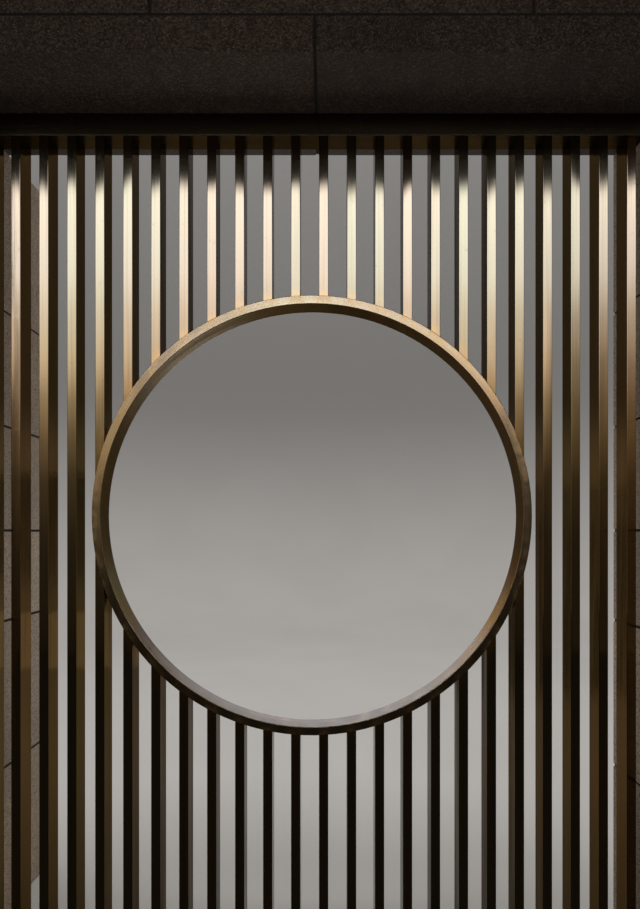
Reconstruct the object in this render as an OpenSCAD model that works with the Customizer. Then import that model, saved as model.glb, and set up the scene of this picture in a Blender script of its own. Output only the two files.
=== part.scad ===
// Moon gate: a screen of upright bronze slats between two stone piers and under a
// stone lintel, with a round ring let into it as a window. Millimetres, +Z up.
// The origin lies on the ground, at the middle of the gate's outline in plan.
// The front looks towards -Y.

/* [Opening between the piers] */
// Clear width between the two piers
opening_w = 2400; // [2000:10:3200]
// Clear height from the ground to the underside of the lintel
opening_h = 3000; // [2700:10:3400]

/* [Stone] */
// Width of each pier, seen from the front
pier_w = 400; // [250:10:600]
// Depth of the left pier, which runs on behind the screen
left_pier_d = 890; // [600:10:1200]
// Depth of the lintel and of the right pier
lintel_d = 550; // [450:10:600]
// Height of the lintel
lintel_h = 600; // [300:10:800]

/* [Screen] */
// Distance of the slats' front faces behind the front of the stone
screen_setback = 290; // [120:5:320]
// Width of a slat, seen from the front
slat_w = 33; // [20:1:50]
// Depth of a slat and of the rails
slat_d = 85; // [60:1:90]
// Least gap between the last slat and a pier
end_gap = 30; // [10:1:60]
// Height of the rails at the top and the foot of the screen
rail_h = 80; // [50:1:120]
// Radius of the long edges of the slats and rails
slat_edge_r = 2; // [1:0.5:4]

/* [Ring] */
// Outer diameter of the ring
ring_d = 1570; // [1200:10:1800]
// Height of the ring's middle above the ground
ring_z = 1563; // [1300:1:1700]
// How far the ring's middle stands to the right of the opening's middle
ring_x = 8; // [-10:1:10]
// Number of slats that the ring cuts through
ring_slats = 16; // [12:2:18]
// How far the ring reaches past the outermost of these slats, when it is centred
ring_margin = 18.5; // [15:0.5:30]
// Width of the ring's front face
ring_face = 30; // [20:1:60]
// How far the ring stands proud of the slats, in front and behind
ring_proud = 5; // [1:1:20]
// Radius of the ring's edges
ring_edge_r = 2; // [1:0.5:4]

/* [Hidden] */
bronze = [0.50, 0.40, 0.27];
pale_granite = [0.42, 0.38, 0.34];
dark_granite = [0.15, 0.12, 0.10];

edge_fn = 32;
ring_fn = 240;

ring_r = ring_d / 2;
ring_depth = slat_d + 2 * ring_proud;

// Planes across the gate, from front to back
front_y = -max(left_pier_d, lintel_d) / 2;
screen_y = front_y + screen_setback + slat_d / 2;

// Heights of the two ends of a full slat
slat_foot = rail_h;
slat_top = opening_h - rail_h;

// The slats are set out from the ring. Their distance from each other is such that the
// ring cuts its number of them, and whole slats fill the rest of the opening.
outer_cut = (ring_slats - 1) / 2;
slat_pitch = (ring_r - ring_margin - slat_w / 2) / outer_cut;
side_count = floor((opening_w / 2 - end_gap - slat_w / 2) / slat_pitch - outer_cut);

// Place of cut slat number k, counted from the left. The whole slats at its left have
// the numbers 0, -1 and so on.
function slat_x(k) = (k - 1 - outer_cut) * slat_pitch;

// Node name of one of a numbered row, such as upper_slat_01
function numbered(name, k) = str(name, k < 10 ? "_0" : "_", k);

// Rectangle with round corners, about its own middle
module rounded_rect(w, d, r) {
    square([w - 2 * r, d], center = true);
    square([w, d - 2 * r], center = true);
    for (sx = [-1, 1], sy = [-1, 1])
        translate([sx * (w / 2 - r), sy * (d / 2 - r)])
            circle(r, $fn = edge_fn);
}

// Block of stone from the front plane backwards
module stone_block(x, z, w, d, h) {
    translate([x, front_y, z])
        cube([w, d, h]);
}

module left_pier() {
    color(pale_granite)
        stone_block(-opening_w / 2 - pier_w, 0, pier_w, left_pier_d, opening_h);
}

module right_pier() {
    color(pale_granite)
        stone_block(opening_w / 2, 0, pier_w, lintel_d, opening_h);
}

// The lintel lies on both piers
module lintel() {
    lintel_w = opening_w + 2 * pier_w;
    color(dark_granite)
        stone_block(-lintel_w / 2, opening_h, lintel_w, lintel_d, lintel_h);
}

// Level tube from pier to pier, with its foot at height z
module rail(z) {
    translate([-opening_w / 2, screen_y, z + rail_h / 2])
        rotate([90, 0, 90])
            linear_extrude(opening_w)
                rounded_rect(slat_d, rail_h, slat_edge_r);
}

module top_rail() {
    color(bronze)
        rail(slat_top);
}

module bottom_rail() {
    color(bronze)
        rail(0);
}

// Flat band bent to a circle, standing upright in the screen
module moon_ring() {
    color(bronze)
        translate([ring_x, screen_y, ring_z])
            rotate([90, 0, 0])
                rotate_extrude($fn = ring_fn)
                    translate([ring_r - ring_face / 2, 0])
                        rounded_rect(ring_face, ring_depth, ring_edge_r);
}

// Upright tube number k between two heights
module slat(k, foot, top) {
    translate([slat_x(k), screen_y, foot])
        linear_extrude(top - foot)
            rounded_rect(slat_w, slat_d, slat_edge_r);
}

// The round space that the ring fills
module ring_space() {
    translate([ring_x, screen_y, ring_z])
        rotate([90, 0, 0])
            cylinder(h = 2 * ring_depth, r = ring_r, center = true, $fn = ring_fn);
}

// A cut slat's upper length, with its foot coped to the ring's outer face
module upper_slat(k) {
    color(bronze)
        difference() {
            slat(k, ring_z, slat_top);
            ring_space();
        }
}

// A cut slat's lower length, with its head coped to the ring's outer face
module lower_slat(k) {
    color(bronze)
        difference() {
            slat(k, slat_foot, ring_z);
            ring_space();
        }
}

// Whole slats, from number first to number last
module side_slats(first, last) {
    color(bronze)
        for (k = [first:last])
            slat(k, slat_foot, slat_top);
}

module side_slats_left() {
    side_slats(1 - side_count, 0);
}

module side_slats_right() {
    side_slats(ring_slats + 1, ring_slats + side_count);
}

left_pier();
right_pier();
lintel();
top_rail();
bottom_rail();
moon_ring();
side_slats_left();
side_slats_right();
for (k = [1:ring_slats]) {
    upper_slat(k);
    lower_slat(k);
}
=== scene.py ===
# %% [markdown]
# # A moon gate: bronze slats and a round ring between stone piers
# The gate is a screen of upright metal tubes with one large ring let into it. It stands back between two
# piers and under a lintel. The tubes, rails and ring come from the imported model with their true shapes, so
# here they only get their finish. The stone comes as plain blocks, and is dressed here with its slabs.

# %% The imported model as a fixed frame
import math

import bpy
import numpy as np
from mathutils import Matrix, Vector


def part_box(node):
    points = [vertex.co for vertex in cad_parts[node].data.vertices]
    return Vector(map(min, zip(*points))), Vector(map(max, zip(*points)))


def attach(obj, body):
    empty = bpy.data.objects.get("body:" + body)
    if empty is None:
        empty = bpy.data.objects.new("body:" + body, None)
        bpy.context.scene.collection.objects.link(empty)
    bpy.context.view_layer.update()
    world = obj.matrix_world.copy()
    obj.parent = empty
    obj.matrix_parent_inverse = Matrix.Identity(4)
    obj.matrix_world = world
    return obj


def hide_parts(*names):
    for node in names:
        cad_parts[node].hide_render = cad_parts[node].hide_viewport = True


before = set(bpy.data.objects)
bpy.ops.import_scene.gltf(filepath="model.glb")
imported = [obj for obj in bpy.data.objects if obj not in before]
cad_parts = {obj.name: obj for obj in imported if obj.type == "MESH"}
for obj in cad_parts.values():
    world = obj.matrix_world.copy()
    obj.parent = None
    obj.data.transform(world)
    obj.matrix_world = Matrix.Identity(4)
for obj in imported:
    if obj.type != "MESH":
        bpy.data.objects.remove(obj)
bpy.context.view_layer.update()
BODY = "root"

# %% [markdown]
# ## Where things are
# The places that the slabs and the finishes need are read from the model: the corners of the stone, the
# ring's centre and the distance between the slats. So these still fit when the gate is built to other sizes.
# The camera and the lights are set out for this one.

# %% Places read from the model
left_low, left_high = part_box("left_pier")
right_low, right_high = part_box("right_pier")
lintel_low, lintel_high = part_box("lintel")
ring_low, ring_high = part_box("moon_ring")
ring_centre = (ring_low + ring_high) / 2
ring_radius = (ring_high.x - ring_low.x) / 2
slat_low, slat_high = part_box("lower_slat_08")
slat_middle = (slat_low + slat_high) / 2
slat_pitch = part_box("lower_slat_09")[0].x - slat_low.x
print("ring at", [round(value, 4) for value in ring_centre], "radius", round(ring_radius, 4))
print("slats", round(slat_pitch, 4), "apart")

# %% [markdown]
# ## The camera
# The photograph was taken at eye height, with the camera level: the slats stay upright and parallel in it.
# A tall building or gate is often taken like this, and the view is then raised by shifting the lens. In
# Blender that is the camera's shift, measured in shares of the picture's longer side.

# %% The camera
PICTURE_W, PICTURE_H = 640, 909
HORIZON_ROW, VANISHING_COLUMN = 533, 327  # of the picture, in pixels
FOCAL_PIXELS = 640
EYE = Vector((0.062, -2.441, 1.500))
SENSOR = 36.0

camera_data = bpy.data.cameras.new("eye")
camera_data.sensor_fit = "AUTO"
camera_data.sensor_width = SENSOR
camera_data.lens = FOCAL_PIXELS * SENSOR / PICTURE_H
camera_data.shift_x = (PICTURE_W / 2 - VANISHING_COLUMN) / PICTURE_H
camera_data.shift_y = (HORIZON_ROW - PICTURE_H / 2) / PICTURE_H
camera = bpy.data.objects.new("eye", camera_data)
camera.location = EYE
camera.rotation_euler = (math.pi / 2, 0, 0)
bpy.context.scene.collection.objects.link(camera)
bpy.context.scene.camera = camera
print("lens", round(camera_data.lens, 2), "mm, raised by", round(camera_data.shift_y, 4))

# %% [markdown]
# ## Shader sums written as sums
# A material is a network of nodes, and most of them only add, multiply and mix. Placed one by one they are
# hard to read. Here one small class wraps a node's output, and Python's own operators on it add the Math
# nodes. Every other node comes through one method, which takes the node's settings and its inputs.

# %% One class for sums, one for a network of nodes
class Signal:
    """The output of a node. An operator on it adds the Math node that works it out."""

    def __init__(self, network, socket):
        self.network = network
        self.socket = socket

    def math(self, operation, *values):
        return self.network.node("ShaderNodeMath", {"operation": operation}, dict(enumerate(values)))

    def __add__(self, other):
        return self.math("ADD", self, other)

    def __sub__(self, other):
        return self.math("SUBTRACT", self, other)

    def __rsub__(self, other):
        return self.math("SUBTRACT", other, self)

    def __mul__(self, other):
        return self.math("MULTIPLY", self, other)

    def __truediv__(self, other):
        return self.math("DIVIDE", self, other)

    def __pow__(self, other):
        return self.math("POWER", self, other)

    def __abs__(self):
        return self.math("ABSOLUTE", self)

    __radd__ = __add__
    __rmul__ = __mul__

    def between(self, low, high):
        """0 where the signal is below low, 1 above high, with a smooth step between them."""
        settings = {"interpolation_type": "SMOOTHSTEP"}
        inputs = {"Value": self, "From Min": low, "From Max": high}
        return self.network.node("ShaderNodeMapRange", settings, inputs)


class Network:
    """A tree of nodes, and the one method through which every node comes."""

    def __init__(self, tree):
        self.tree = tree

    def node(self, kind, settings=None, inputs=None, output=0):
        """Adds a node. Its settings are set first, then each input gets its value or its link."""
        made = self.tree.nodes.new(kind)
        for name, value in (settings or {}).items():
            if name == "stops":
                self.set_stops(made.color_ramp, value)
            else:
                setattr(made, name, value)
        for name, value in (inputs or {}).items():
            self.feed(made.inputs[name], value)
        return Signal(self, made.outputs[output])

    def feed(self, socket, value):
        """Links a signal to the socket, or sets the socket's own value."""
        if isinstance(value, Signal):
            self.tree.links.new(value.socket, socket)
        else:
            socket.default_value = value

    def set_stops(self, ramp, stops):
        """Gives a colour ramp its stops, a list of (place, colour)."""
        while len(ramp.elements) < len(stops):
            ramp.elements.new(1.0)
        for element, (place, colour) in zip(ramp.elements, stops):
            element.position = place
            element.color = (*colour, 1.0)

    def split(self, vector):
        """The three coordinates of a vector, each as a signal."""
        parts = self.node("ShaderNodeSeparateXYZ", None, {0: vector}).socket.node
        return [Signal(self, socket) for socket in parts.outputs]

    def mix(self, share, first, second):
        """The colour between first and second, at this share of the way. The node's sockets for numbers,
        vectors and colours have the same names, so these go by their places."""
        inputs = {0: share, 6: first, 7: second}
        return self.node("ShaderNodeMix", {"data_type": "RGBA"}, inputs, output=2)

    def noise(self, place, scale, detail=2.0, roughness=0.5):
        inputs = {"Vector": place, "Scale": scale, "Detail": detail, "Roughness": roughness}
        return self.node("ShaderNodeTexNoise", None, inputs)

    def stretched(self, place, scale):
        """The place with each of its coordinates multiplied by its own number."""
        return self.node("ShaderNodeVectorMath", {"operation": "MULTIPLY"}, {0: place, 1: scale})


# A noise seldom leaves this range
NOISE_RANGE = (0.3, 0.7)
# How far a face points up before dust lies on it
DUST_LIES_FROM = 0.45


class Finish(Network):
    """A material with its Principled shader."""

    def __init__(self, name):
        self.material = bpy.data.materials.new(name)
        self.material.use_nodes = True
        super().__init__(self.material.node_tree)
        self.shader = self.tree.nodes["Principled BSDF"]
        self.place = self.node("ShaderNodeTexCoord", output="Object")

    def shade(self, sockets):
        """Feeds the shader's sockets, by their names."""
        for name, value in sockets.items():
            self.feed(self.shader.inputs[name], value)

    def bump(self, height):
        """Roughens the surface by a height in metres."""
        inputs = {"Height": height, "Distance": 1.0}
        self.shade({"Normal": self.node("ShaderNodeBump", None, inputs)})

    def facing_up(self):
        """1 on a level top, 0 on an upright face and below."""
        normal = self.node("ShaderNodeNewGeometry", output="Normal")
        return self.split(normal)[2].between(DUST_LIES_FROM, 1.0)


# %% [markdown]
# ## The stage
# A gate this size is shown in a studio whose pale floor curves up into a round wall, so that no edge shows
# behind it from any side. The hall's profile is turned about the upright axis through the screen: a flat
# stretch from the middle outwards, a quarter circle and an upright stretch. Its pale board turns grey on the
# way up, so that the bright slats stand out against it. It comes in two halves, because the metal shall
# mirror only the one behind the gate. It isn't part of the gate.

# %% A surface from a grid of points
def grid_piece(name, grid):
    """A mesh with one vertex for each point of the grid, rows by columns, and a quad between each four
    neighbours."""
    rows, columns = grid.shape[:2]
    index = np.arange(rows * columns).reshape(rows, columns)
    quads = np.stack([index[:-1, :-1], index[:-1, 1:], index[1:, 1:], index[1:, :-1]], axis=-1)
    mesh = bpy.data.meshes.new(name)
    mesh.from_pydata(grid.reshape(-1, 3).tolist(), [], quads.reshape(-1, 4).tolist())
    mesh.polygons.foreach_set("use_smooth", np.ones(len(mesh.polygons), bool))
    mesh.update()
    made = bpy.data.objects.new(name, mesh)
    bpy.context.scene.collection.objects.link(made)
    return made


# %% The hall
HALL_RADIUS, HALL_TOP = 11.0, 20.0
HALL_BEND = 4.0
BEND_STEPS, TURN_STEPS = 24, 60
HUB_RADIUS = 0.01
CLOUD_SCALE = 0.8
BOARD_TONES = (0.56, 0.54, 0.515, 1), (0.585, 0.565, 0.54, 1)
WALL_GREY = (0.33, 0.32, 0.31, 1)
WALL_GREY_FROM = 5.0


def hall_half(name, start_angle):
    """Half a turn of the profile from this angle on. The profile has the points (r, z): flat out to where
    the bend starts, then for an angle a from 0 to a quarter turn r = start + R sin a, z = R (1 - cos a),
    then upright to the top. A point at the turn t lies at (r cos t, r sin t, z) from the axis."""
    bend = np.linspace(0, math.pi / 2, BEND_STEPS)
    radius = np.concatenate([[HUB_RADIUS], HALL_RADIUS - HALL_BEND * (1 - np.sin(bend)), [HALL_RADIUS]])
    height = np.concatenate([[0], HALL_BEND * (1 - np.cos(bend)), [HALL_TOP]])
    turn = start_angle + np.linspace(0, math.pi, TURN_STEPS)
    grid = np.empty((len(radius), TURN_STEPS, 3))
    grid[..., 0] = slat_middle.x + radius[:, None] * np.cos(turn)
    grid[..., 1] = slat_middle.y + radius[:, None] * np.sin(turn)
    grid[..., 2] = height[:, None]
    return grid_piece(name, grid)


def clouded(finish, tones):
    """The two tones in faint clouds."""
    cloud = finish.noise(finish.place, CLOUD_SCALE, 3.0)
    return finish.mix(cloud.between(*NOISE_RANGE), *tones)


def board_finish():
    """Matt board with a very faint unevenness. It turns from pale to a middle grey on its way up."""
    finish = Finish("pale_board")
    pale = clouded(finish, BOARD_TONES)
    height = finish.split(finish.place)[2]
    tone = finish.mix(height.between(0.0, WALL_GREY_FROM), pale, WALL_GREY)
    finish.shade({"Base Color": tone, "Roughness": 0.9})
    return finish.material


hall = bpy.data.collections.new("hall")
pale_board = board_finish()
for name, start_angle in (("hall_behind", 0.0), ("hall_in_front", math.pi)):
    half = hall_half(name, start_angle)
    half.data.materials.append(pale_board)
    half.visible_glossy = name == "hall_behind"
    hall.objects.link(half)
print("hall of radius", HALL_RADIUS, "m in two halves")

# %% [markdown]
# ## Gauze behind the gate
# The side faces of the slats mirror the hall behind the gate. In the photograph they are darker along a
# stretch of their height, which reaches further down at the right than at the left. In a studio a flag does
# this: a frame of dark gauze, held where the metal mirrors it. Here one flag stands behind each half of the
# screen, and the slats of the other half mirror it. The gauze thins out towards its foot and its head,
# because a sharp edge would show on every slat. The flags themselves show in reflections alone.

# %% Two flags
GAUZE_TONES = (0.17, 0.16, 0.15, 1), (0.20, 0.19, 0.18, 1)
FLAG_Y = 2.7
# The places of a flag's sides, and the heights where the gauze begins, is full, begins to thin out and ends
FLAG_RIGHT = (0.20, 0.44), (0.95, 1.28, 1.90, 1.98)
FLAG_LEFT = (-0.30, -0.07), (0.04, 0.36, 1.42, 1.75)


def gauze_finish(name, heights):
    """Dark gauze, faintly uneven. It thickens from the first height to the second and thins out again
    from the third to the fourth."""
    finish = Finish(name)
    foot, full_from, full_to, head = heights
    height = finish.split(finish.place)[2]
    thick = height.between(foot, full_from) * (1.0 - height.between(full_to, head))
    finish.shade({"Base Color": clouded(finish, GAUZE_TONES), "Roughness": 0.9, "Alpha": thick})
    return finish.material


def flag(name, sides, heights):
    """An upright sheet of gauze, as a grid of two by two points."""
    x, z = np.meshgrid(sides, [heights[0], heights[-1]])
    sheet = grid_piece(name, np.stack([x, np.full((2, 2), FLAG_Y), z], axis=-1))
    sheet.data.materials.append(gauze_finish(name, heights))
    sheet.visible_camera = False
    sheet.visible_diffuse = False
    sheet.visible_shadow = False
    hall.objects.link(sheet)
    print(name, "from", heights[0], "to", heights[-1], "m high")


flag("flag_right", *FLAG_RIGHT)
flag("flag_left", *FLAG_LEFT)

# %% [markdown]
# ## The light
# Satin metal has hardly a colour of its own. It shows what it mirrors. In the photograph the fronts of the
# slats glow at the top and are almost black at the foot: they mirror something bright high up and something
# dark lower down. So a wide upright panel stands in front of the gate, and its brightness is graded with the
# height. The slats at the right glow from higher up than those at the left, so it has one gradient for each
# side. The ring's glow has other steps, and it gets a panel of its own. The slats' side faces and the inside
# of the ring mirror what is behind the gate, where a faint band and some small panels stand for it. Light
# linking lets each of them shine on its own kind of piece alone, and gives the stone weaker panels of its
# own. A wide lamp high overhead lights the hall, which throws a soft light back on everything, and a weak
# one lights all pieces from above.

# %% What each panel may shine on
metal = bpy.data.collections.new("metal")
round_metal = bpy.data.collections.new("round_metal")
straight_metal = bpy.data.collections.new("straight_metal")
masonry = bpy.data.collections.new("masonry")
STONE_NODES = ("left_pier", "right_pier", "lintel")
for name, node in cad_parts.items():
    if name not in STONE_NODES:
        metal.objects.link(node)
        (round_metal if name == "moon_ring" else straight_metal).objects.link(node)

# %% A soft panel
# Watts of a square metre of panel with a brightness of 1
PANEL_POWER = 4


def soft_panel(name, centre, target, size, brightness, colour, only):
    """A rectangular panel at centre that faces target and may shine on one collection only. Its power
    grows with its area, so a panel of another size looks as bright."""
    data = bpy.data.lights.new(name, "AREA")
    data.shape = "RECTANGLE"
    data.size, data.size_y = size
    data.energy = PANEL_POWER * brightness * size[0] * size[1]
    data.color = colour
    panel = bpy.data.objects.new(name, data)
    panel.location = centre
    panel.rotation_euler = (Vector(target) - Vector(centre)).to_track_quat("-Z", "Y").to_euler()
    panel.visible_camera = False
    if only:
        panel.light_linking.receiver_collection = only
    bpy.context.scene.collection.objects.link(panel)
    return panel


# %% Graded panels
WHITE, PALE = (1.0, 1.0, 1.0), (0.93, 0.87, 0.84)
WARM, AMBER = (1.0, 0.93, 0.84), (1.0, 0.87, 0.62)
COOL, DUSK = (0.45, 0.60, 1.0), (0.30, 0.45, 1.0)
COOL_FROM, COOL_TO = 1.95, 5.07
SKY_WIDTH = 12.0
SKY_Y, BAND_Y = -6.0, 9.6
# Each step is a height on the panel and the brightness there
SLATS_LEFT = [(0.0, 0.01), (0.65, 0.035), (1.16, 0.05), (1.5, 0.075), (2.2, 0.20), (2.7, 0.64), (3.2, 1.7),
              (3.7, 4.3), (4.3, 6.6), (4.8, 9.7), (5.80, 12.2), (5.88, 6.1), (5.96, 0.0)]
SLATS_RIGHT = [(0.0, 0.035), (0.65, 0.03), (1.16, 0.04), (1.5, 0.05), (2.2, 0.12), (2.7, 0.34), (3.2, 0.62),
               (3.7, 1.35), (4.3, 3.5), (4.8, 7.1), (5.80, 11.0), (5.88, 5.5), (5.96, 0.0)]
RING_LEFT = [(1.5, 0.02), (2.22, 0.03), (2.55, 2.6), (3.1, 1.8), (3.7, 1.6), (4.2, 0.5), (4.42, 17.0),
             (5.1, 18.0), (5.2, 0.0)]
RING_RIGHT = [(1.5, 0.02), (2.1, 0.02), (2.8, 0.04), (3.15, 1.7), (3.7, 8.0), (4.1, 4.5), (4.4, 8.0),
              (5.1, 17.0), (5.2, 0.0)]
SIDES_LEFT = [(2.3, 0.0), (2.45, 0.14), (2.9, 0.19), (3.3, 0.16), (3.63, 0.07), (4.0, 0.0)]
SIDES_RIGHT = [(2.3, 0.0), (2.62, 0.0), (2.72, 0.12), (3.0, 0.15), (3.3, 0.13), (3.63, 0.07), (4.0, 0.0)]
# Places across a panel, between which the left steps turn into the right ones
SLATS_TURN, RING_TURN, SIDES_TURN = (2.2, 3.4), (0.1, 0.7), (-0.2, 0.2)


def sky_panel(name, y, steps_left, steps_right, turn_places, foot_right, only):
    """A wide upright panel in front of the gate or behind it. Two ramps carry its brightness from step to
    step with the height, as a share of the greatest, and the left one turns into the right one on the way
    across. The colour goes from warm at the foot to cool at the head, and the foot may have another
    colour at the right."""
    foot, head = steps_left[0][0], steps_left[-1][0]
    z = (foot + head) / 2
    panel = soft_panel(name, (0, y, z), (0, 0, z), (SKY_WIDTH, head - foot), 1.0, WHITE, only)
    panel.data.use_nodes = True
    light = Network(panel.data.node_tree)
    x, _, height = light.split(light.node("ShaderNodeNewGeometry", output="Position"))
    share = (height - foot) / (head - foot)
    turn = x.between(*turn_places)

    def brightness_of(steps):
        most = max(brightness for _, brightness in steps)
        stops = [((step - foot) / (head - foot), (brightness / most,) * 3) for step, brightness in steps]
        ramp = light.node("ShaderNodeValToRGB", {"stops": stops}, {"Fac": share})
        return light.split(ramp)[0] * most

    left, right = brightness_of(steps_left), brightness_of(steps_right)
    foot_colour = light.mix(turn, (*WARM, 1), (*foot_right, 1))
    colour = light.mix(height.between(COOL_FROM, COOL_TO), foot_colour, (*COOL, 1))
    emission = light.tree.nodes["Emission"]
    light.feed(emission.inputs["Strength"], left + (right - left) * turn)
    light.feed(emission.inputs["Color"], colour)
    return panel


# What this collection leaves out throws no shadow in the light of the slats' panel
see_through = bpy.data.collections.new("see_through")
slat_sky = sky_panel("slat_sky", SKY_Y, SLATS_LEFT, SLATS_RIGHT, SLATS_TURN, AMBER, straight_metal)
sky_panel("ring_sky", SKY_Y, RING_LEFT, RING_RIGHT, RING_TURN, WARM, round_metal)
sky_panel("side_band", BAND_Y, SIDES_LEFT, SIDES_RIGHT, SIDES_TURN, WARM, straight_metal)
slat_sky.light_linking.blocker_collection = see_through

# %% Plain panels
# Name, centre, target, width and height, brightness, colour, and what it shines on
SOFT_PANELS = [
    ("behind_ring", (-0.65, 9.8, 4.0), (0, 0, 1.0), (3.3, 3.0), 6.6, PALE, round_metal),
    ("behind_low", (0.85, 6.4, 0.32), (-0.5, 0, 2.1), (0.9, 0.6), 6.0, DUSK, round_metal),
    ("behind_middle", (1.2, 6.4, 0.55), (-0.55, 0, 2.05), (1.0, 0.8), 5.4, DUSK, round_metal),
    ("behind_high", (1.15, 6.4, 2.4), (-0.65, 0, 1.2), (0.6, 0.6), 4.0, COOL, round_metal),
    ("foot_glow", (0.98, 4.5, 0.34), (0.98, 0, 0.34), (0.86, 0.6), 0.3, PALE, straight_metal),
    ("side_left", (-7, -3.6, 2.2), (0, 0, 1.6), (2.5, 4.0), 1.2, WARM, metal),
    ("side_right", (7, -3.6, 2.2), (0, 0, 1.6), (2.5, 4.0), 0.9, WARM, metal),
    ("stone_front", (-2, -6, 2.6), (0, 0, 2.0), (5, 3.0), 0.6, WARM, masonry),
    ("stone_low", (0, -3.0, 0.2), (0, 0, 3.0), (5, 2.0), 0.4, WARM, masonry),
    ("hall_lamp", (0, 1.0, 17.0), (0, 1.0, 0), (12, 12), 3.0, WHITE, hall),
    ("top", (0, 2.1, 5.2), (0, 2.4, 0), (8, 3.6), 0.3, WHITE, None),
    ("stone_top", (0, -0.17, 6.0), (0, -0.17, 0), (3, 0.4), 12.0, WARM, masonry),
    ("stone_back", (0, 2.2, 1.1), (0, 0, 1.1), (2.4, 1.6), 1.6, WARM, masonry),
]
for soft_panel_values in SOFT_PANELS:
    soft_panel(*soft_panel_values)
print(len(bpy.data.lights), "panels, of which", len(SOFT_PANELS), "are plain")

# %% The surroundings
AMBIENT = (0.032, 0.032, 0.032, 1)

world = bpy.data.worlds.new("studio")
world.use_nodes = True
bpy.context.scene.world = world
background = world.node_tree.nodes["Background"]
background.inputs["Color"].default_value = AMBIENT
background.inputs["Strength"].default_value = 1.0
bpy.context.scene.view_settings.view_transform = "Standard"

# %% [markdown]
# ## Bronze
# The tubes and the ring are steel with a satin bronze coat, brushed along their length. The metal's colour
# is its base colour with Metallic at 1. The brushing makes fine lines, which show as streaks of slightly
# different gloss and tone, and broader clouds where the coat is older. The lines follow the piece, so each
# kind of piece gives the pattern its own coordinates: upright on a slat, level on a rail, and on the ring
# the radius and the way round it. Where a slat meets the ring, the weld is ground flush and rougher, and a
# golden patch there is a painted highlight.

# %% Coordinates along each kind of piece
def ring_distance(finish):
    """The distance from the ring's centre, in the plane of the screen."""
    x, _, z = finish.split(finish.place)
    return ((x - ring_centre.x) ** 2 + (z - ring_centre.z) ** 2) ** 0.5


def along_slat(finish):
    """Across, through and up the slat, as they are."""
    return finish.split(finish.place)


def along_rail(finish):
    """The rail's length takes the place of the height."""
    x, y, z = finish.split(finish.place)
    return z, y, x


def round_ring(finish):
    """The distance from the ring's centre, the depth, and the length of the arc: the angle times the
    ring's radius."""
    x, y, z = finish.split(finish.place)
    across, up = x - ring_centre.x, z - ring_centre.z
    return ring_distance(finish), y, up.math("ARCTAN2", up, across) * ring_radius


# %% Where the welds are, and which slat is which
WELD_REACH = 0.045
WELD_CORE = WELD_REACH * 0.3


def welded_end(finish):
    """1 where a slat meets the ring's outer edge, 0 from a weld's reach away."""
    return 1.0 - (ring_distance(finish) - ring_radius).between(0.0, WELD_REACH)


def welded_rim(finish):
    """1 on the ring's outer rim where a slat meets it. The place across is counted in pitches from one
    slat, and its distance from the nearest whole number is the distance from that number's slat."""
    number = (finish.split(finish.place)[0] - slat_middle.x) / slat_pitch
    off = abs(number - number.math("ROUND", number)) * slat_pitch
    rim = ring_distance(finish).between(ring_radius - WELD_REACH, ring_radius)
    return (1.0 - off.between(WELD_CORE, WELD_REACH)) * rim


def own_value(finish):
    """A random value from 0 to 1 for each slat, from its number in the row: the distance from one slat
    in pitches, rounded."""
    x = finish.split(finish.place)[0]
    number = x.math("ROUND", (x - slat_middle.x) / slat_pitch)
    return finish.node("ShaderNodeTexWhiteNoise", {"noise_dimensions": "1D"}, {"W": number})


# %% Tones and patterns of the bronze
BRONZE_WARM = (0.163, 0.100, 0.047, 1)
BRONZE_OLIVE = (0.146, 0.102, 0.046, 1)
BRONZE_DARK = (0.085, 0.053, 0.027, 1)
GLANCING = (0.42, 0.42, 0.42, 1)
GLANCING_RING = (0.37, 0.37, 0.38, 1)
# Tone the rails are darkened towards: painted shade of the lintel on the top rail, a little darkening on the
# foot rail
DARKENED_TONE = (0.012, 0.009, 0.005, 1)
# The brighter gold of the painted highlight at the welds
WELD_GLINT_GOLD = (0.215, 0.118, 0.040, 1)
DUST = (0.16, 0.145, 0.13, 1)
# What the place is multiplied by, across, through and along the piece: the more, the finer the pattern
BRUSH_FINE = (900.0, 900.0, 6.0)
BRUSH_BROAD = (160.0, 160.0, 1.6)
COAT_WAVES = (11.0, 11.0, 1.4)
AGE_SCALE, SPOT_SCALE, DUST_SCALE, WELD_SCALE = 2.3, 34.0, 18.0, 26.0
# The part of its noise that each pattern uses
STREAK_RANGE, SPOT_RANGE = (0.45, 0.75), (0.62, 0.78)
DUST_RANGE, WELD_RANGE = (0.05, 0.6), (0.25, 0.65)
# How much of the tone each pattern takes at most
STREAK_SHARE, SPOT_SHARE, DUST_SHARE, WELD_GLINT_SHARE = 0.35, 0.30, 0.8, 0.7
OWN_SHARE = 0.4
# How much rougher each pattern makes the coat at most
STREAK_ROUGH, AGE_ROUGH, SPOT_ROUGH, DUST_ROUGH, WELD_ROUGH = 0.03, 0.04, 0.05, 0.4, 0.10
# Depths in metres
FINE_DEPTH, BROAD_DEPTH, WAVE_DEPTH = 0.00006, 0.00004, 0.004


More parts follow.
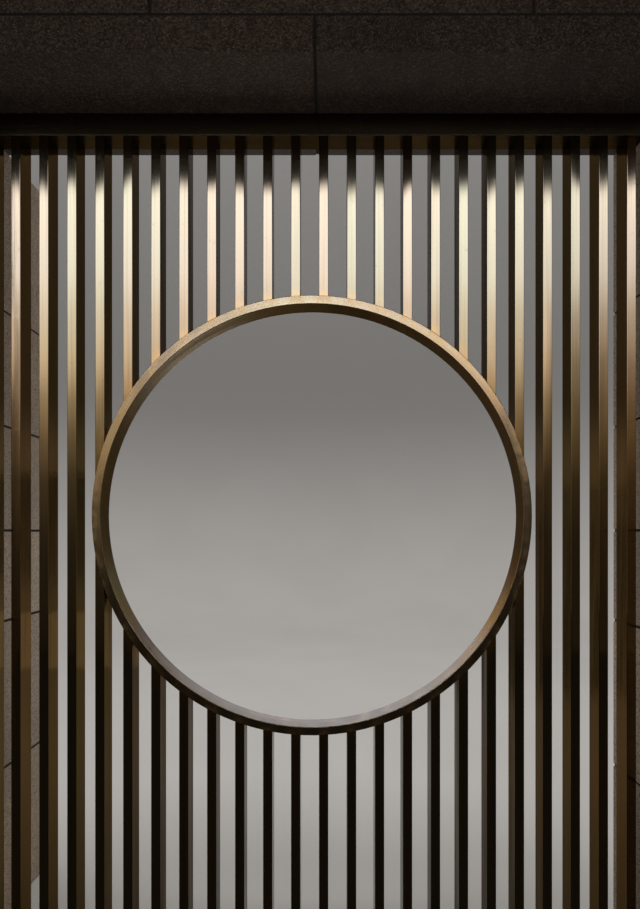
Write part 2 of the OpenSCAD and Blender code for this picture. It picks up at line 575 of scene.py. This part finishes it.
# %% The bronze finish
def bronze(name, coordinates, gloss, anisotropy, glancing, own=None, darkening=0.0, welded=None):
    """Satin bronze brushed along the piece. glancing tints what it mirrors at a low angle, own gives a
    value that differs from slat to slat, darkening is how far the tone is darkened, which on the top rail
    is painted shade, and welded gives the places where a weld was ground flush: rougher there, with a
    painted highlight in a golden patch."""
    finish = Finish(name)
    across, through, along = coordinates(finish)
    place = finish.node("ShaderNodeCombineXYZ", None, {0: across, 1: through, 2: along})
    fine = finish.noise(finish.stretched(place, BRUSH_FINE), 1.0, 2.0)
    broad = finish.noise(finish.stretched(place, BRUSH_BROAD), 1.0, 3.0)
    waves = finish.noise(finish.stretched(place, COAT_WAVES), 1.0, 1.0)
    cloud = finish.noise(finish.place, AGE_SCALE, 4.0, 0.6)
    spots = finish.noise(finish.place, SPOT_SCALE, 3.0, 0.65).between(*SPOT_RANGE)
    lying = finish.noise(finish.place, DUST_SCALE, 4.0, 0.7).between(*DUST_RANGE)
    dust = finish.facing_up() * lying * DUST_SHARE
    age = cloud * (1 - OWN_SHARE) + (own(finish) if own else cloud) * OWN_SHARE
    tone = finish.mix(age.between(*NOISE_RANGE), BRONZE_WARM, BRONZE_OLIVE)
    tone = finish.mix(broad.between(*STREAK_RANGE) * STREAK_SHARE, tone, BRONZE_DARK)
    tone = finish.mix(spots * SPOT_SHARE, tone, BRONZE_DARK)
    # Painted shade: the top rail is darkened where the lintel shades it; the foot rail is darkened a little
    tone = finish.mix(darkening, tone, DARKENED_TONE)
    rough = gloss + broad * STREAK_ROUGH + age * AGE_ROUGH + spots * SPOT_ROUGH + dust * DUST_ROUGH
    if welded:
        # Painted highlight: near the welds the tone turns a brighter gold for the glints there; the extra
        # roughness is the ground weld's own
        ground_and_glint = welded(finish) * finish.noise(finish.place, WELD_SCALE, 2.0).between(*WELD_RANGE)
        tone = finish.mix(ground_and_glint * WELD_GLINT_SHARE, tone, WELD_GLINT_GOLD)
        rough = rough + ground_and_glint * WELD_ROUGH
    finish.shade({"Base Color": finish.mix(dust, tone, DUST), "Metallic": 1.0 - dust, "Roughness": rough})
    finish.shade({"Anisotropic": anisotropy, "Specular Tint": glancing})
    finish.bump(fine * FINE_DEPTH + broad * BROAD_DEPTH + waves * WAVE_DEPTH)
    return finish.material


# %% [markdown]
# ## Four coats
# The slats are the smoothest. They mirror the graded panel quite sharply, and their brushing spreads it in
# one direction. The ring and the rails are duller, and their brushing is left to the streaks alone. The top
# rail lies in the shadow of the lintel, and that shade is painted into its tone; the foot rail is darkened a
# little.

# %% A coat for each kind of piece
SLAT_GLOSS, RING_GLOSS, RAIL_GLOSS = 0.045, 0.175, 0.235
SLAT_BRUSHING = 0.8
# Share of painted shade on the top rail, and of darkening on the foot rail
TOP_RAIL_SHADE, FOOT_RAIL_DARKENING = 0.7, 0.2

bronze_slat = bronze("bronze_slat", along_slat, SLAT_GLOSS, SLAT_BRUSHING, GLANCING, own=own_value,
                     welded=welded_end)
bronze_top_rail = bronze("bronze_top_rail", along_rail, RAIL_GLOSS, 0.0, GLANCING, darkening=TOP_RAIL_SHADE)
bronze_foot_rail = bronze("bronze_foot_rail", along_rail, RAIL_GLOSS, 0.0, GLANCING, darkening=FOOT_RAIL_DARKENING)
bronze_ring = bronze("bronze_ring", round_ring, RING_GLOSS, 0.0, GLANCING_RING, welded=welded_rim)

COATS = {"top_rail": bronze_top_rail, "bottom_rail": bronze_foot_rail, "moon_ring": bronze_ring}
for name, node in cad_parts.items():
    coat = COATS.get(name, bronze_slat)
    for material_slot in node.material_slots:
        material_slot.material = coat
print("bronze on", len(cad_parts), "nodes, of which", len(STONE_NODES), "are stone and get slabs")

# %% [markdown]
# ## Granite
# The stone is granite, which is a close mass of grains a few millimetres across: pale feldspar, grey quartz
# and black mica. A Voronoi texture gives each grain its cell, and the cell's random value picks its colour
# from a ramp. The faces are flamed: a torch makes the outermost grains burst off, and a little bump gives
# the same roughness. Every slab is cut from another part of the quarry block, and so each has its own tone,
# kept in the mesh as an attribute.

# %% Grains and patterns of the granite
GRAIN_SIZE = 0.0045
GRAIN_WOBBLE = 1.5
STONE_CLOUD_SCALE, STONE_CLOUD_RANGE = 3.1, (0.35, 0.7)
# The least brightness, and what is added to it at most, by the slab's tone and by the clouds
SLAB_LEAST, SLAB_MORE = 0.77, 0.28
CLOUD_LEAST, CLOUD_MORE = 0.90, 0.16
RUN_STRETCH, RUN_RANGE = (9.0, 9.0, 0.9), (0.52, 0.74)
STONE_ROUGH, GRAIN_ROUGH = 0.62, 0.22
PIT_SCALE = 420.0
PIT_DEPTH, GRAIN_DEPTH = 0.0008, 0.0003


# %% The granite finish
def granite(name, grains, stain, stain_share):
    """Flamed granite. grains is a ramp from the darkest grain to the palest, and stain is the colour of
    the rain's runs. The grains' cells are bent by a noise, so that they aren't straight-edged."""
    finish = Finish(name)
    wobble = finish.noise(finish.place, GRAIN_WOBBLE / GRAIN_SIZE, 2.0)
    bent = finish.node("ShaderNodeVectorMath", {"operation": "ADD"},
                       {0: finish.place, 1: finish.stretched(wobble, (GRAIN_SIZE,) * 3)})
    cells = finish.node("ShaderNodeTexVoronoi", None, {"Vector": bent, "Scale": 1 / GRAIN_SIZE}, "Color")
    grain = finish.split(cells)[0]
    colour = finish.node("ShaderNodeValToRGB", {"stops": grains}, {"Fac": grain})
    tone = finish.node("ShaderNodeAttribute", {"attribute_name": "tone"}, output="Fac")
    cloud = finish.noise(finish.place, STONE_CLOUD_SCALE, 5.0, 0.6).between(*STONE_CLOUD_RANGE)
    shade = (SLAB_LEAST + tone * SLAB_MORE) * (CLOUD_LEAST + cloud * CLOUD_MORE)
    bright = finish.node("ShaderNodeVectorMath", {"operation": "SCALE"}, {0: colour, 3: shade})
    runs = finish.noise(finish.stretched(finish.place, RUN_STRETCH), 1.0, 4.0, 0.6).between(*RUN_RANGE)
    finish.shade({"Base Color": finish.mix(runs * stain_share, bright, stain)})
    finish.shade({"Roughness": STONE_ROUGH + grain * GRAIN_ROUGH, "Specular IOR Level": 0.25})
    pits = finish.noise(finish.place, PIT_SCALE, 3.0, 0.7)
    finish.bump(pits * PIT_DEPTH + grain * GRAIN_DEPTH)
    return finish.material


# %% Pale and dark granite
PALE_GRAINS = [(0.0, (0.085, 0.060, 0.043)), (0.13, (0.19, 0.141, 0.103)), (0.30, (0.33, 0.253, 0.187)),
               (0.62, (0.385, 0.302, 0.230)), (0.86, (0.43, 0.346, 0.268)), (1.0, (0.55, 0.468, 0.376))]
DARK_GRAINS = [(0.0, (0.016, 0.010, 0.007)), (0.30, (0.034, 0.023, 0.017)), (0.65, (0.058, 0.040, 0.030)),
               (0.90, (0.080, 0.058, 0.044)), (1.0, (0.110, 0.085, 0.066))]
PALE_STAIN, PALE_STAIN_SHARE = (0.16, 0.135, 0.11, 1), 0.35
DARK_STAIN, DARK_STAIN_SHARE = (0.020, 0.013, 0.010, 1), 0.45
pale_granite = granite("pale_granite", PALE_GRAINS, PALE_STAIN, PALE_STAIN_SHARE)
dark_granite = granite("dark_granite", DARK_GRAINS, DARK_STAIN, DARK_STAIN_SHARE)
print("two kinds of granite, with grains of", GRAIN_SIZE * 1000, "mm")

# %% The ground of the joints
JOINT_DARK, JOINT_DIRT = (0.012, 0.010, 0.008, 1), (0.035, 0.030, 0.025, 1)
DIRT_SCALE, DIRT_DEPTH = 60.0, 0.002


def mortar():
    """The dark ground of the open joints."""
    finish = Finish("joint_ground")
    dirt = finish.noise(finish.place, DIRT_SCALE, 4.0)
    finish.shade({"Base Color": finish.mix(dirt, JOINT_DARK, JOINT_DIRT), "Roughness": 0.95})
    finish.bump(dirt * DIRT_DEPTH)
    return finish.material


joint_ground = mortar()

# %% [markdown]
# ## Stone slabs
# The piers and the lintel are walled up and faced with slabs, and the joints between them are left open, so
# they show as thin dark lines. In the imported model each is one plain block. Here each becomes its slabs,
# with a small chamfer on every edge, round a dark core that stands back in the joints. All the slabs of a
# piece are made at once, as one array: an eight-cornered outline carried up through four heights.

# %% The measures and the outline of a slab
CHAMFER = 0.0025
JOINT = 0.008
JOINT_DEPTH = 0.0035
UNEVEN = 0.0008
HEIGHTS, CORNERS = 4, 8
POINTS_EACH = HEIGHTS * CORNERS

# Outline of a slab, seen from above: the side that each corner belongs to, and where it is cut
SIDE_X = np.array([1, 1, 1, 1, -1, -1, -1, -1])
SIDE_Y = np.array([-1, -1, 1, 1, 1, 1, -1, -1])
CUT_X = np.array([1, 0, 0, 1, 1, 0, 0, 1])
CUT_Y = 1 - CUT_X


# %% The points and faces of all slabs of a piece
def slab_points(low, high):
    """Points of every slab, as an array of slabs, heights, corners and coordinates. A corner lies at
    side times (half the width - the cut - the inset), and the inset is the chamfer at the first and the
    last height and nothing between them."""
    middle, half = (low + high) / 2, (high - low) / 2
    inset = np.array([CHAMFER, 0, 0, CHAMFER])[None, :, None]
    points = np.empty((len(low), HEIGHTS, CORNERS, 3))
    points[..., 0] = middle[:, None, None, 0] + SIDE_X * (half[:, None, None, 0] - CHAMFER * CUT_X - inset)
    points[..., 1] = middle[:, None, None, 1] + SIDE_Y * (half[:, None, None, 1] - CHAMFER * CUT_Y - inset)
    heights = np.stack([low[:, 2], low[:, 2] + CHAMFER, high[:, 2] - CHAMFER, high[:, 2]], axis=1)
    points[..., 2] = heights[:, :, None]
    return points


def slab_faces(count):
    """For each slab three rings of eight quads, one eight-sided bed and one eight-sided top."""
    index = np.arange(POINTS_EACH).reshape(HEIGHTS, CORNERS)
    after = np.roll(index, -1, axis=1)
    quads = np.stack([index[:-1], after[:-1], after[1:], index[1:]], axis=-1).reshape(-1, 4)
    start = POINTS_EACH * np.arange(count)
    sides = (start[:, None, None] + quads).reshape(-1, 4).tolist()
    ends = np.stack([index[0, ::-1], index[-1]])
    return sides + (start[:, None, None] + ends).reshape(-1, CORNERS).tolist()


# %% A piece of slabs
def slabs(name, low, high, seed):
    """A piece of slabs between their lowest and highest corners. Each face stands back by chance, less
    than a millimetre, and each slab has a tone of its own."""
    random = np.random.default_rng(seed)
    low = low + random.uniform(0, UNEVEN, low.shape)
    high = high - random.uniform(0, UNEVEN, high.shape)
    points = slab_points(low, high)
    mesh = bpy.data.meshes.new(name)
    mesh.from_pydata(points.reshape(-1, 3).tolist(), [], slab_faces(len(low)))
    tone = np.repeat(random.uniform(0, 1, len(low)), POINTS_EACH).astype(np.float32)
    mesh.attributes.new("tone", "FLOAT", "POINT").data.foreach_set("value", tone)
    mesh.update()
    made = bpy.data.objects.new(name, mesh)
    bpy.context.scene.collection.objects.link(made)
    return made


# %% Slabs between the lines of the joints
def corners(x_lines, y_lines, z_lines):
    """The lowest and highest corners of the slabs between these lines, with half a joint left free at
    each line that lies inside."""
    def spans(lines):
        lines = np.asarray(lines, float)
        gap = np.full(len(lines), JOINT / 2)
        gap[[0, -1]] = 0
        return lines[:-1] + gap[:-1], lines[1:] - gap[1:]

    from_x, to_x = spans(x_lines)
    from_y, to_y = spans(y_lines)
    from_z, to_z = spans(z_lines)
    low = np.stack(np.meshgrid(from_x, from_y, from_z, indexing="ij"), axis=-1).reshape(-1, 3)
    high = np.stack(np.meshgrid(to_x, to_y, to_z, indexing="ij"), axis=-1).reshape(-1, 3)
    return low, high


# %% The core of a stone piece, and its finish
def core(name, low, high):
    """The ground of the joints: a block that stands back by their depth on every side."""
    back = np.full(3, JOINT_DEPTH)
    made = slabs(name, (np.array(low) + back)[None], (np.array(high) - back)[None], seed=0)
    made.data.materials.append(joint_ground)
    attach(made, BODY)


def dress(piece, material, node):
    """Gives a stone piece its finish and lets it stand for the model's block."""
    piece.data.materials.append(material)
    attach(piece, BODY)
    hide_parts(node)
    masonry.objects.link(piece)
    print(node, "has", len(piece.data.vertices) // POINTS_EACH, "slabs")


# %% [markdown]
# ## The piers
# Each course of a pier is as wide as the pier, so only the level joints show. Their heights were read off
# the photograph at the left pier's inner face, and the courses aren't all alike: two tall ones at the foot,
# then lower ones. The right pier has the same courses, because the mason would carry them through. In the
# photograph the last slat at the right glows as the others do, so the light of the slats' panel passes the
# right pier.

# %% The piers
COURSE_TOPS = [0.580, 1.155, 1.510, 1.920, 2.370]


def pier(node, low, high, seed):
    """One slab block a course."""
    z_lines = [low.z, *COURSE_TOPS, high.z]
    made = slabs(node + "_slabs", *corners([low.x, high.x], [low.y, high.y], z_lines), seed)
    dress(made, pale_granite, node)
    core(node + "_core", low, high)


pier("left_pier", left_low, left_high, seed=11)
pier("right_pier", right_low, right_high, seed=12)
for piece_name in ("right_pier_slabs", "right_pier_core"):
    see_through.objects.link(bpy.data.objects[piece_name])
    see_through.collection_objects[-1].light_linking.link_state = "EXCLUDE"

# %% [markdown]
# ## The lintel
# The lintel has a low course at its foot, whose slabs also make its underside, and a high one above it. The
# upright joints of the two are staggered, as in any wall. One joint of the low course shows near the middle
# of the underside, and the others are laid out from it.

# %% The lintel
FOOT_COURSE = 0.120
SLAB_LENGTH = 1.2
FOOT_JOINT = 0.024
HEAD_SHIFT = 0.57
JOINTS_EACH_WAY = 4


def upright_joints(low, high, shift):
    """The ends, and every joint between them, a slab's length apart and shifted by a share of it."""
    steps = np.arange(-JOINTS_EACH_WAY, JOINTS_EACH_WAY + 1) + shift
    joints = FOOT_JOINT + steps * SLAB_LENGTH
    inside = joints[(joints > low + JOINT) & (joints < high - JOINT)]
    return [low, *inside, high]


def lintel():
    """Both courses in one piece, with half a joint free below and above the line between them."""
    low, high = lintel_low, lintel_high
    y_lines = [low.y, high.y]
    bed = low.z + FOOT_COURSE
    foot = corners(upright_joints(low.x, high.x, 0.0), y_lines, [low.z, bed - JOINT / 2])
    head = corners(upright_joints(low.x, high.x, HEAD_SHIFT), y_lines, [bed + JOINT / 2, high.z])
    both = [np.vstack(pair) for pair in zip(foot, head)]
    dress(slabs("lintel_slabs", *both, seed=13), dark_granite, "lintel")
    core("lintel_core", low, high)


lintel()
